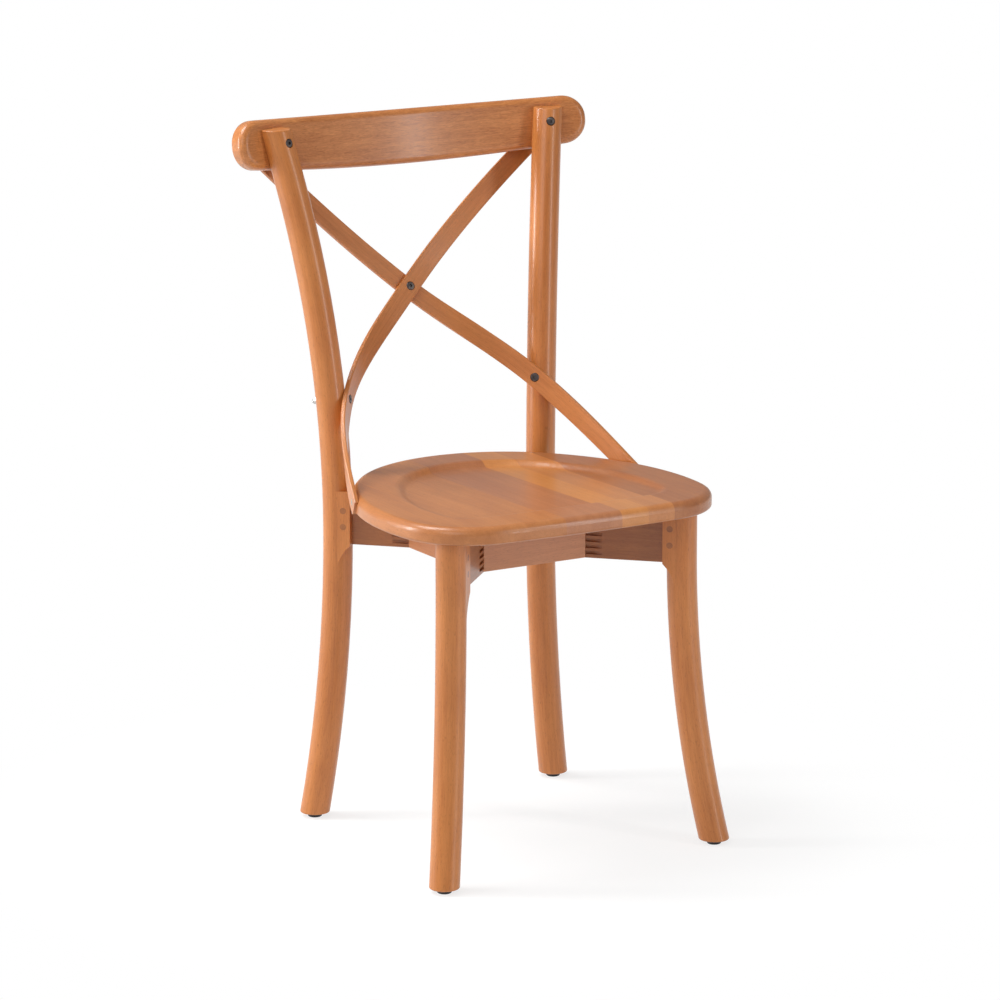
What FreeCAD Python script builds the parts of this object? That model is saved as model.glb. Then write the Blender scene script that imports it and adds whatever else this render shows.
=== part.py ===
import FreeCAD, Part
import Sketcher
import math
import os
import re
from types import SimpleNamespace

# Cross back chair. X is to the right seen from the front, Y to the chair's back, Z up.
# The origin is on the floor, under the middle of the chair's outline.

Vector = FreeCAD.Vector
Rotation = FreeCAD.Rotation
Placement = FreeCAD.Placement

doc = FreeCAD.newDocument("CrossBackChair")
sheet = doc.addObject("Spreadsheet::Sheet", "Sizes")

# Driving dimensions in millimetres and degrees.
drivingSizes = {
    # bent round legs
    "legDiameter": 38,
    "bendHeight": 382,
    "frontLegX": 167.2,
    "frontLegY": -191.4,
    "frontSplayRadius": 1566,
    "frontSplayAngle": 48.3,
    "backLegX": 151.1,
    "backLegY": 122.9,
    "backSplayRadius": 2160,
    "backSplayAngle": 26.2,
    "postBendRadius": 1600,
    "postBendAngle": 52.8,
    "postTopHeight": 890,
    "legEndRound": 1.5,
    # square inner side of each leg where its arm is joined
    "blockReach": 21,
    "blockEase": 0.4,
    "coveDrop": 42,
    "coveRadius": 60,
    "tenonThickness": 12,
    "tenonHeight": 50,
    "tenonLength": 20,
    "tenonClearance": 0.2,
    "pegDiameter": 8,
    "pegSetback": 9,
    "pegLowHeight": 24,
    "pegRise": 21,
    "pegClearance": 0.05,
    # frame under the seat
    "frameBottom": 364,
    "frameHeight": 70,
    "armThickness": 20,
    "railThickness": 20,
    "frameEdgeRound": 1,
    "ringHalfWidth": 90,
    "ringFrontY": -112.2,
    "ringBackY": 60.3,
    "fingerHeight": 4,
    "fingerPitch": 8,
    "fingerCount": 8,
    "fingerDepth": 3.5,
    "fingerClearance": 0.15,
    "grooveRunOut": 22,
    # seat
    "seatThickness": 22,
    "seatBackY": 149.3,
    "seatBackRadius": 191,
    "seatBackAngle": 49,
    "seatSideRadius": 310,
    "seatSideAngle": 99,
    "seatCornerRadius": 96,
    "seatCornerAngle": 176.6,
    "seatTopRound": 10,
    "seatBottomRound": 4,
    "dishInset": 54,
    "dishBorder": 16,
    "dishBackDepth": 8,
    "dishFrontDepth": 4,
    "boardCentreWidth": 80,
    "boardSecondWidth": 39,
    "boardThirdWidth": 39,
    "boardFourthWidth": 42,
    # crest rail
    "crestLength": 511,
    "crestHeight": 70.5,
    "crestThickness": 30,
    "crestRadius": 720,
    "crestBottomRadius": 3333,
    "crestLean": 9.65,
    "crestDrop": 62.5,
    "crestSetback": 8,
    "crestEndRound": 30,
    "crestEdgeRound": 9,
    "crestSeatClearance": 0.45,
    # crossed strips
    "stripWidth": 25.2,
    "stripThickness": 6,
    "stripEdgeRound": 1.2,
    "stripPostClearance": 0.5,
    "stripClearance": 0.3,
    "stripTopX": 205,
    "stripTopRise": 24,
    "crossHeight": 667.5,
    "crossY": 203.8,
    "stripBoltHeight": 549.5,
    "stripPostAngle": 38,
    "stripEndY": -21.2,
    "stripEndRise": 7,
    "stripEndProud": 0.5,
    "notchClearance": 0.2,
    # bolts, nuts, inserts and screws
    "boltHeadDiameter": 11,
    "boltHeadHeight": 3,
    "boltHeadEase": 0.8,
    "boltDiameter": 5,
    "boltClearance": 0.25,
    "socketWidth": 4,
    "socketDepth": 2,
    "postSinkDepth": 3.2,
    "stripSinkDepth": 2.6,
    "sinkClearance": 0.4,
    "nutSinkDepth": 1.2,
    "crestBoltDrop": 19,
    "insertDiameter": 9,
    "insertLength": 15,
    "insertSink": 0.5,
    "threadClearance": 0.05,
    "headClearance": 0.15,
    "nutWidth": 8,
    "nutHeight": 4,
    "nutDomeStep": 0.4,
    "screwDiameter": 4,
    "screwHeadDiameter": 8,
    "screwHeadHeight": 2.4,
    "stripScrewLength": 22,
    "stripScrewSetback": 13,
    "screwClearance": 0.1,
    "seatScrewSetback": 60,
    "seatScrewBoreDiameter": 10,
    "seatScrewBoreDepth": 30,
    "seatScrewGrip": 12,
    # glides
    "glideDiameter": 18,
    "glideHeight": 6,
    "glideEdge": 0.8,
    "nailDiameter": 3,
    "nailLength": 16,
    "nailHeadDiameter": 7,
    "nailHeadHeight": 1.2,
    "nailClearance": 0.1,
}

for line, (alias, number) in enumerate(drivingSizes.items(), start=1):
    sheet.set(f"A{line}", alias)
    sheet.set(f"B{line}", str(number))
    sheet.setAlias(f"B{line}", alias)
doc.recompute()
size = SimpleNamespace(**{alias: float(sheet.get(alias)) for alias in drivingSizes})

# Millimetres that a cutter runs past what it cuts, and that joined features overlap inside
overrun = 1
lap = 2
# How near a height or a curve an edge counts as on it, and the least that a cut takes off
levelError = 0.01
curveError = 0.02
leastCut = 0.1

pieces = []


def bound(formula):
    """A formula on size names, as an expression on the sheet's cells."""
    return re.sub(
        r"[A-Za-z]+",
        lambda word: "Sizes." + word.group() if word.group() in drivingSizes else word.group(),
        formula,
    )


def value(formula):
    return float(sheet.evalExpression(bound(formula)))


def bind(feature, name, formula):
    feature.setExpression(name, bound(formula))


def addPiece(feature, label):
    feature.Label = label
    pieces.append(feature)
    return feature


def turned(angle, position):
    """A placement turned about the vertical and moved."""
    return Placement(position, Rotation(Vector(0, 0, 1), angle))


def addBody(label, placement=None):
    body = doc.addObject("PartDesign::Body", label)
    body.Label = label
    if placement:
        body.Placement = placement
    return body


def addSketch(body, name, role, lift="0", swing="0"):
    """A sketch on one of the body's origin planes, lifted off it, or swung about its own vertical."""
    sketch = body.newObject("Sketcher::SketchObject", name)
    plane = next(f for f in body.Origin.OriginFeatures if f.Role == role)
    sketch.AttachmentSupport = [(plane, "")]
    sketch.MapMode = "FlatFace"
    sketch.AttachmentOffset = Placement(
        Vector(0, 0, value(lift)), Rotation(Vector(0, 1, 0), value(swing))
    )
    if lift != "0":
        bind(sketch, "AttachmentOffset.Base.z", lift)
    return sketch


def pin(sketch, edge, end, x, y):
    """Holds one end of an edge at a pair of formulas."""
    for kind, formula, axis in (("DistanceX", x, -2), ("DistanceY", y, -1)):
        if formula == "0":
            sketch.addConstraint(Sketcher.Constraint("PointOnObject", edge, end, axis))
        else:
            datum = Sketcher.Constraint(kind, -1, 1, edge, end, value(formula))
            index = sketch.addConstraint(datum)
            bind(sketch, f"Constraints[{index}]", formula)


def outline(sketch, corners):
    """A closed outline. Each corner is (x, y), or (x, y, radius, turn) where an arc leaves it.

    The turn is 1 for an arc that bends to the left and -1 for one that bends to the right.
    """
    count = len(corners)
    points = [Vector(value(c[0]), value(c[1]), 0) for c in corners]
    ends = []
    for i, corner in enumerate(corners):
        start = points[i]
        stop = points[(i + 1) % count]
        if len(corner) == 2:
            sketch.addGeometry(Part.LineSegment(start, stop), False)
            ends.append((1, 2))
            continue
        radius = value(corner[2])
        turn = corner[3]
        half = (stop - start) * 0.5
        reach = math.sqrt(radius**2 - half.Length**2)
        normal = Vector(-half.y, half.x, 0).normalize()
        centre = start + half + normal * (reach * turn)
        first, last = (start, stop) if turn > 0 else (stop, start)
        circle = Part.Circle(centre, Vector(0, 0, 1), radius)
        startAngle = math.atan2(first.y - centre.y, first.x - centre.x)
        stopAngle = math.atan2(last.y - centre.y, last.x - centre.x)
        if stopAngle < startAngle:
            stopAngle += 2 * math.pi
        sketch.addGeometry(Part.ArcOfCircle(circle, startAngle, stopAngle), False)
        ends.append((1, 2) if turn > 0 else (2, 1))
    for i in range(count):
        following = (i + 1) % count
        sketch.addConstraint(
            Sketcher.Constraint("Coincident", i, ends[i][1], following, ends[following][0])
        )
    for i, corner in enumerate(corners):
        pin(sketch, i, ends[i][0], corner[0], corner[1])
        if len(corner) > 2:
            index = sketch.addConstraint(Sketcher.Constraint("Radius", i, value(corner[2])))
            bind(sketch, f"Constraints[{index}]", corner[2])
    return sketch


def rectangle(sketch, x1, x2, y1, y2):
    return outline(sketch, [(x1, y1), (x2, y1), (x2, y2), (x1, y2)])


def disc(sketch, diameter):
    sketch.addGeometry(Part.Circle(Vector(0, 0, 0), Vector(0, 0, 1), value(diameter) / 2), False)
    sketch.addConstraint(Sketcher.Constraint("Coincident", 0, 3, -1, 1))
    index = sketch.addConstraint(Sketcher.Constraint("Diameter", 0, value(diameter)))
    bind(sketch, f"Constraints[{index}]", diameter)
    return sketch


def pad(body, name, sketch, length, both=False):
    feature = body.newObject("PartDesign::Pad", name)
    feature.Profile = sketch
    bind(feature, "Length", length)
    feature.Midplane = both
    return feature


def checkedCut(body, feature, name):
    """Recomputes and makes sure that the cut took something off."""
    doc.recompute()
    before = feature.BaseFeature.Shape.Volume
    if feature.Shape.isNull() or feature.Shape.Volume > before - leastCut:
        raise RuntimeError(f"{body.Label}: {name} cuts nothing")
    return feature


def pocket(body, name, sketch, length, both=False):
    feature = body.newObject("PartDesign::Pocket", name)
    feature.Profile = sketch
    bind(feature, "Length", length)
    feature.Midplane = both
    return checkedCut(body, feature, name)


def row(body, name, feature, sketch, length, count):
    """Repeats a feature along its sketch's normal."""
    pattern = body.newObject("PartDesign::LinearPattern", name)
    pattern.Originals = [feature]
    pattern.Direction = (sketch, ["N_Axis"])
    bind(pattern, "Length", length)
    bind(pattern, "Occurrences", count)
    body.Tip = pattern
    return pattern


def cutBox(body, name, length, width, height, placement):
    """A box cut out of the body. The placement is in the chair's frame."""
    feature = body.newObject("PartDesign::SubtractiveBox", name)
    bind(feature, "Length", length)
    bind(feature, "Width", width)
    bind(feature, "Height", height)
    feature.Placement = body.Placement.inverse().multiply(placement)
    return checkedCut(body, feature, name)


def cutHole(body, name, diameter, height, placement):
    """A round hole. The placement, in the chair's frame, has its Z axis along the hole."""
    feature = body.newObject("PartDesign::SubtractiveCylinder", name)
    bind(feature, "Radius", f"({diameter}) / 2")
    bind(feature, "Height", height)
    feature.Placement = body.Placement.inverse().multiply(placement)
    return checkedCut(body, feature, name)


def roundEdges(body, name, radius, wanted):
    """Rounds the edges of the body's last shape that the test picks."""
    doc.recompute()
    base = body.Tip
    edges = [f"Edge{i}" for i, edge in enumerate(base.Shape.Edges, start=1) if wanted(edge)]
    feature = body.newObject("PartDesign::Fillet", name)
    feature.Base = (base, edges)
    bind(feature, "Radius", radius)
    return feature


def edgeAt(height):
    """Picks the level edges at a height in the body's own frame."""

    def level(edge):
        middle = edge.valueAt((edge.FirstParameter + edge.LastParameter) / 2)
        points = [vertex.Point for vertex in edge.Vertexes] + [middle]
        return all(abs(point.z - height) < levelError for point in points)

    return level


def addTwin(feature, label):
    """The left-hand twin of a right-hand feature."""
    twin = doc.addObject("Part::Mirroring", label)
    twin.Source = feature
    twin.Normal = Vector(1, 0, 0)
    return twin


def mirrored(feature, label):
    return addPiece(addTwin(feature, label), label)


def gathered(features, label):
    group = doc.addObject("Part::Compound", label)
    group.Links = features
    return addPiece(group, label)


def along(position, direction):
    """A placement with its Z axis along a direction."""
    return Placement(position, Rotation(Vector(0, 0, 1), direction))


# Where the legs run

legRadius = size.legDiameter / 2
frameTop = size.frameBottom + size.frameHeight
armDiagonal = size.armThickness / math.sqrt(2)


def legPoint(x, y, radius, angle, height):
    """A bent leg's centre line, where the height is above or below its bend."""
    fall = height - size.bendHeight
    out = radius - math.sqrt(radius**2 - fall**2)
    turn = math.radians(angle)
    return Vector(x + out * math.cos(turn), y + out * math.sin(turn), height)


def postPoint(height):
    return legPoint(
        size.backLegX, size.backLegY, size.postBendRadius, size.postBendAngle, height
    )


def postDirection(height):
    return (postPoint(height + 1) - postPoint(height - 1)).normalize()


# Crest rail's own frame: X along it, Y from its front face to its back, Z up its lean.
# Its front face stands behind the post's centre line, at the bolt, by the setback.

crestBoltPoint = postPoint(size.postTopHeight - size.crestBoltDrop)
crestTurn = Rotation(Vector(1, 0, 0), -size.crestLean)
crestRise = size.crestDrop - size.crestBoltDrop
crestSwing = math.sqrt((size.crestRadius - size.crestSetback) ** 2 - crestBoltPoint.x**2)
crestLeanBack = crestRise * math.tan(math.radians(size.crestLean))
crestInset = (crestSwing - size.crestRadius) / math.cos(math.radians(size.crestLean))
crestPlacement = Placement(
    Vector(
        0, crestBoltPoint.y - crestLeanBack - crestInset, size.postTopHeight - size.crestDrop
    ),
    crestTurn,
)


def crestPoint(x, rise, depth):
    """A point of the crest rail, counted from its front face and its lower edge's middle."""
    radius = size.crestRadius + depth
    return crestPlacement.multVec(
        Vector(x, math.sqrt(radius**2 - x**2) - size.crestRadius, rise)
    )


def crestNormal(x, depth):
    """Points out of the crest rail's back."""
    radius = size.crestRadius + depth
    return crestPlacement.Rotation.multVec(
        Vector(x / radius, math.sqrt(1 - (x / radius) ** 2), 0)
    )


# The bolt's line is square to the rail's front face and meets the post's centre line.
crestLocal = crestPlacement.inverse().multVec(crestBoltPoint)
crestSpoke = Vector(crestLocal.x, crestLocal.y + size.crestRadius, 0)
crestSeatDepth = size.crestRadius - crestSpoke.Length
crestBoltAxis = crestPlacement.Rotation.multVec(crestSpoke.normalize())
crestSeatPoint = crestBoltPoint + crestBoltAxis * crestSeatDepth

# Crossed strips: a line of four knots, smooth through all of them, with a turning section

stripPostAxis = postPoint(size.stripBoltHeight)
stripPostTurn = math.radians(size.stripPostAngle)
stripPostReach = legRadius + size.stripThickness / 2 + size.stripPostClearance
seatSideCentre = Vector(
    (size.seatBackRadius - size.seatSideRadius) * math.sin(math.radians(size.seatBackAngle)),
    size.seatBackY
    - size.seatBackRadius
    + (size.seatBackRadius - size.seatSideRadius) * math.cos(math.radians(size.seatBackAngle)),
    0,
)


def seatEdge(y):
    """How far the seat's side is from its middle."""
    return seatSideCentre.x + math.sqrt(size.seatSideRadius**2 - (y - seatSideCentre.y) ** 2)


def stripKnots(side):
    """Knots of the strip that ends at the right of the seat. The side is -1 in front, 1 behind."""
    crestGap = size.stripThickness / 2 + size.stripClearance
    top = crestPoint(-size.stripTopX, size.stripTopRise, size.crestThickness)
    top = top + crestNormal(-size.stripTopX, size.crestThickness) * crestGap
    post = Vector(
        stripPostAxis.x - stripPostReach * math.cos(stripPostTurn),
        stripPostAxis.y - stripPostReach * math.sin(stripPostTurn),
        size.stripBoltHeight,
    )
    end = Vector(
        seatEdge(size.stripEndY) + size.stripEndProud,
        size.stripEndY,
        frameTop + size.stripEndRise,
    )
    cross = Vector(0, size.crossY, size.crossHeight)
    half = (size.stripThickness + size.stripClearance) / 2
    return [top, cross + stripFace(top, cross, post) * (half * side), post, end]


def stripFace(before, knot, after):
    """The normal that two mirrored strips share where they cross."""
    run = knotDirection(before, knot, after)
    twin = Vector(-run.x, run.y, run.z)
    return towardsBack(run.cross(twin))


def towardsBack(normal):
    normal = Vector(normal).normalize()
    return normal if normal.y > 0 else normal * -1


def knotDirection(before, knot, after):
    """The direction of a smooth line at a knot between two others."""
    arriving = knot - before
    leaving = after - knot
    mean = arriving.normalize() * leaving.Length + leaving.normalize() * (knot - before).Length
    return mean.normalize()


# Stations between two knots, and how far the line's ends bend on beyond their chords
stripSteps = 8
stripTopSpring = 0.8
stripEndSpring = 0.6


def stripLine(side):
    """Points, directions and face normals along one strip, from its upper end to its lower."""
    knots = stripKnots(side)
    top, cross, post, end = stripKnots(0)
    crossRun = knotDirection(top, cross, post)
    postRun = knotDirection(cross, post, end)
    firstChord = (cross - top).normalize()
    lastChord = (end - post).normalize()
    topRun = (firstChord + (firstChord - crossRun) * stripTopSpring).normalize()
    endRun = (lastChord + (lastChord - postRun) * stripEndSpring).normalize()
    runs = [topRun, crossRun, postRun, endRun]
    faces = [
        crestNormal(-size.stripTopX, size.crestThickness),
        stripFace(top, cross, post),
        towardsBack(postRun.cross(postDirection(size.stripBoltHeight))),
        towardsBack(Vector(endRun.y, -endRun.x, 0) * -1),
    ]
    stations = []
    for i in range(3):
        chord = (knots[i + 1] - knots[i]).Length
        for k in range(stripSteps + (1 if i == 2 else 0)):
            t = k / stripSteps
            point = (
                knots[i] * (2 * t**3 - 3 * t**2 + 1)
                + knots[i + 1] * (3 * t**2 - 2 * t**3)
                + runs[i] * (chord * (t**3 - 2 * t**2 + t))
                + runs[i + 1] * (chord * (t**3 - t**2))
            )
            run = (
                knots[i] * (6 * t**2 - 6 * t)
                + knots[i + 1] * (6 * t - 6 * t**2)
                + runs[i] * (chord * (3 * t**2 - 4 * t + 1))
                + runs[i + 1] * (chord * (3 * t**2 - 2 * t))
            ).normalize()
            ease = 3 * t**2 - 2 * t**3
            face = faces[i] * (1 - ease) + faces[i + 1] * ease
            face = (face - run * face.dot(run)).normalize()
            stations.append((point, run, face))
    return stations


def stripSolid(stations, front, back, halfWidth, ease):
    """A strip's solid between two distances in front of and behind its line, edges eased."""
    half = ease * (1 - math.sqrt(0.5))
    quarter = [(0, ease), (half, half), (ease, 0)]
    profile = []
    square = [(-front, -halfWidth), (back, -halfWidth), (back, halfWidth), (-front, halfWidth)]
    for depth, shift in square:
        steps = quarter if depth * shift > 0 else quarter[::-1]
        for inDepth, inShift in steps:
            profile.append(
                (
                    depth - math.copysign(inDepth, depth),
                    shift - math.copysign(inShift, shift),
                )
            )
    sections = []
    for point, run, face in stations:
        across = run.cross(face).normalize()
        corners = [point + face * depth + across * shift for depth, shift in profile]
        sections.append(Part.makePolygon(corners + corners[:1]))
    return Part.makeLoft(sections, True, False)


stripStations = stripLine(0)
crossPoint, crossAxis = stripStations[stripSteps][::2]
stripBoltPoint, stripBoltAxis = stripStations[2 * stripSteps][::2]


# Legs

def addLeg(label, x, y, turn, splayRadius, splayAngle, postHeight=None):
    """A right-hand leg. Its own X axis points out along its arm's line."""
    placement = turned(turn, Vector(value(x), value(y), size.bendHeight))
    body = addBody(label, placement)
    bind(body, "Placement.Base.x", x)
    bind(body, "Placement.Base.y", y)
    bind(body, "Placement.Base.z", "bendHeight")
    section = disc(addSketch(body, "LegSection", "XY_Plane"), "legDiameter")
    sweepLeg(body, "Lower", section, splayRadius, splayAngle - turn, "bendHeight", -1)
    if postHeight:
        rise = "postTopHeight - bendHeight"
        postSwing = size.postBendAngle - turn
        sweepLeg(body, "Upper", section, "postBendRadius", postSwing, rise, 1)
    else:
        top = disc(addSketch(body, "TopSection", "XY_Plane"), "legDiameter")
        pad(body, "LegTop", top, "frameBottom + frameHeight - bendHeight")
    block = outline(
        addSketch(body, "BlockProfile", "XZ_Plane"),
        [
            (f"{lap}", "frameBottom + frameHeight - bendHeight"),
            ("-blockReach", "frameBottom + frameHeight - bendHeight"),
            ("-blockReach", "frameBottom - bendHeight", "coveRadius", -1),
            (f"-{lap}", "frameBottom - coveDrop - bendHeight"),
            (f"{lap}", "frameBottom - coveDrop - bendHeight"),
        ],
    )
    pad(body, "Block", block, "legDiameter - 2 * blockEase", both=True)
    foot = footPoint(x, y, splayRadius, splayAngle)
    spread = 4 * size.legDiameter
    under = Placement(foot + Vector(-spread / 2, -spread / 2, -spread), Rotation())
    wide = "4 * legDiameter"
    cutBox(body, "FootCut", wide, wide, wide, under)
    roundEdges(body, "FootRound", "legEndRound", edgeAt(size.glideHeight - size.bendHeight))
    if postHeight:
        over = Placement(
            postPoint(size.postTopHeight) + Vector(-spread / 2, -spread / 2, 0), Rotation()
        )
        cutBox(body, "TopCut", wide, wide, wide, over)
        roundEdges(body, "TopRound", "legEndRound", edgeAt(size.postTopHeight - size.bendHeight))
    tenonFoot = value("frameBottom + (frameHeight - tenonHeight) / 2 - tenonClearance")
    corner = Vector(-size.blockReach - overrun, -size.tenonThickness / 2 - size.tenonClearance, 0)
    mortise = turned(turn, Vector(value(x), value(y), tenonFoot)).multiply(
        Placement(corner, Rotation())
    )
    cutBox(
        body,
        "Mortise",
        f"tenonLength + tenonClearance + {overrun}",
        "tenonThickness + 2 * tenonClearance",
        "tenonHeight + 2 * tenonClearance",
        mortise,
    )
    for i, hole in enumerate(pegPlacements(x, y, turn)):
        cutHole(body, f"PegHole{i + 1}", "pegDiameter + 2 * pegClearance", "legDiameter", hole)
    cutHole(
        body,
        "NailHole",
        "nailDiameter + 2 * nailClearance",
        f"nailLength + {lap}",
        Placement(footPoint(x, y, splayRadius, splayAngle), Rotation()),
    )
    return body


def footPoint(x, y, splayRadius, splayAngle):
    """The middle of the leg where it is cut off above its glide."""
    return legPoint(value(x), value(y), value(splayRadius), splayAngle, size.glideHeight)


def sweepLeg(body, name, section, radius, swing, rise, up):
    """Sweeps the leg's section along an arc that starts upright at the bend."""
    spine = addSketch(body, f"{name}Line", "XZ_Plane", swing=str(swing))
    reach = value(f"({rise}) + legDiameter / 2")
    bow = value(radius)
    turn = math.asin(reach / bow)
    centre = Part.Circle(Vector(bow, 0, 0), Vector(0, 0, 1), bow)
    start, stop = (math.pi, math.pi + turn) if up < 0 else (math.pi - turn, math.pi)
    spine.addGeometry(Part.ArcOfCircle(centre, start, stop), False)
    near, far = (1, 2) if up < 0 else (2, 1)
    spine.addConstraint(Sketcher.Constraint("Coincident", 0, near, -1, 1))
    spine.addConstraint(Sketcher.Constraint("PointOnObject", 0, 3, -1))
    index = spine.addConstraint(Sketcher.Constraint("Radius", 0, bow))
    bind(spine, f"Constraints[{index}]", radius)
    index = spine.addConstraint(Sketcher.Constraint("DistanceY", -1, 1, 0, far, up * reach))
    sign = "-" if up < 0 else ""
    bind(spine, f"Constraints[{index}]", f"{sign}({rise} + legDiameter / 2)")
    pipe = body.newObject("PartDesign::AdditivePipe", f"{name}Sweep")
    pipe.Profile = section
    pipe.Spine = (spine, ["Edge1"])
    return pipe


def pegPlacements(x, y, turn):
    """The two pegs of an arm's joint, across the leg's block."""
    outward = math.radians(turn)
    setback = size.blockReach - size.pegSetback
    across = Vector(-math.sin(outward), math.cos(outward), 0)
    places = []
    for height in (size.pegLowHeight, size.pegLowHeight + size.pegRise):
        middle = Vector(
            value(x) - setback * math.cos(outward),
            value(y) - setback * math.sin(outward),
            size.frameBottom + height,
        )
        places.append(along(middle - across * legRadius, across))
    return places


legs = {
    "front": ("frontLegX", "frontLegY", -45, "frontSplayRadius", -size.frontSplayAngle),
    "back": ("backLegX", "backLegY", 45, "backSplayRadius", size.backSplayAngle),
}

frontLeg = addPiece(addLeg("front_leg_right", *legs["front"]), "front_leg_right")
backLeg = addLeg("back_leg_right", *legs["back"], postHeight="postTopHeight")


def seatCutPlacement():
    """Lies on the crest rail's front face, at the post, with X along the rail."""
    back = crestBoltAxis
    up = crestPlacement.Rotation.multVec(Vector(0, 0, 1))
    side = back.cross(up).normalize()
    return Placement(crestSeatPoint - back * size.crestSeatClearance, Rotation(side, back, up))


# The flat on the post for the crest rail: its cutter's width, and how far it runs below and above
flatWidth = 60
flatBelow = 8
flatAbove = 32
flatCorner = Vector(-flatWidth / 2, 0, -size.crestHeight / 2 - flatBelow)
cutBox(
    backLeg,
    "CrestSeat",
    str(flatWidth),
    "legDiameter",
    f"crestHeight + {flatBelow + flatAbove}",
    seatCutPlacement().multiply(Placement(flatCorner, Rotation())),
)
crestBoltStart = crestBoltPoint - crestBoltAxis * (legRadius - size.postSinkDepth)
cutHole(
    backLeg,
    "CrestBoltHole",
    "boltDiameter + 2 * boltClearance",
    "2 * legDiameter",
    along(crestBoltPoint - crestBoltAxis * size.legDiameter, crestBoltAxis),
)
cutHole(
    backLeg,
    "CrestBoltSeat",
    "boltHeadDiameter + 2 * sinkClearance",
    "legDiameter",
    along(crestBoltStart, crestBoltAxis * -1),
)
stripAxisPoint = stripBoltPoint + stripBoltAxis * stripPostReach
cutHole(
    backLeg,
    "StripBoltHole",
    "boltDiameter + 2 * boltClearance",
    "2 * legDiameter",
    along(stripAxisPoint - stripBoltAxis * size.legDiameter, stripBoltAxis),
)
stripNutStart = stripAxisPoint + stripBoltAxis * (legRadius - size.nutSinkDepth)
cutHole(
    backLeg,
    "StripNutSeat",
    "nutWidth / cos(30) + 2 * sinkClearance",
    "legDiameter",
    along(stripNutStart, stripBoltAxis),
)
addPiece(backLeg, "back_leg_right")
mirrored(frontLeg, "front_leg_left")
mirrored(backLeg, "back_leg_left")


# Frame under the seat

fingerMargin = "(frameHeight - (fingerCount - 1) * fingerPitch - fingerHeight) / 2"
fingerRun = "fingerPitch * (fingerCount - 1)"
fingerShift = "fingerDepth / sqrt(2)"


def lowerEdges(edge):
    """Picks the two long edges of a board's underside."""
    first, last = edge.Vertexes[0].Point, edge.Vertexes[-1].Point
    return max(abs(first.z), abs(last.z), abs(first.y - last.y)) < levelError


def addRail(label, placement, start, stop):
    """A short rail with mitred, fingered ends. Its own Y axis points to the frame's middle."""
    body = addBody(label, placement)
    plan = outline(
        addSketch(body, "Plan", "XY_Plane"),
        [
            (start, "0"),
            (stop, "0"),
            (f"{stop} - railThickness", "railThickness"),
            (f"{start} + railThickness", "railThickness"),
        ],
    )
    pad(body, "Board", plan, "frameHeight")
    roundEdges(body, "EdgeRound", "frameEdgeRound", lowerEdges)
    for name, end, sign in (("Start", start, -1), ("Stop", stop, 1)):
        inner = f"{end} - railThickness" if sign > 0 else f"{end} + railThickness"
        back = f"- {lap}" if sign > 0 else f"+ {lap}"
        shift = f"+ {fingerShift}" if sign > 0 else f"- {fingerShift}"
        corners = [
            (f"{end} {back}", "0"),
            (end, "0"),
            (f"{end} {shift}", fingerShift),
            (f"{inner} {shift}", f"railThickness + {fingerShift}"),
            (inner, "railThickness"),
            (f"{inner} {back}", "railThickness"),
        ]
        if sign < 0:
            corners.reverse()
        sketch = outline(addSketch(body, f"{name}Finger", "XY_Plane", lift=fingerMargin), corners)
        finger = pad(body, f"{name}FingerPad", sketch, "fingerHeight")
        doc.recompute()
        row(body, f"{name}Fingers", finger, sketch, fingerRun, "fingerCount")
        doc.recompute()
    return addPiece(body, label)


diagonal = "armThickness / sqrt(2)"
frontHalf = f"(frontLegX - (ringFrontY - frontLegY) - {diagonal})"
backHalf = f"(backLegX - (backLegY - ringBackY) - {diagonal})"
sideStart = f"(frontLegY + frontLegX - ringHalfWidth + {diagonal})"
sideStop = f"(backLegY - backLegX + ringHalfWidth - {diagonal})"

addRail(
    "frame_rail_front",
    turned(0, Vector(0, size.ringFrontY, size.frameBottom)),
    f"-{frontHalf}",
    frontHalf,
)
addRail(
    "frame_rail_back",
    turned(180, Vector(0, size.ringBackY, size.frameBottom)),
    f"-{backHalf}",
    backHalf,
)
sideRail = addRail(
    "frame_rail_right",
    turned(90, Vector(size.ringHalfWidth, 0, size.frameBottom)),
    sideStart,
    sideStop,
)
mirrored(sideRail, "frame_rail_left")


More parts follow.
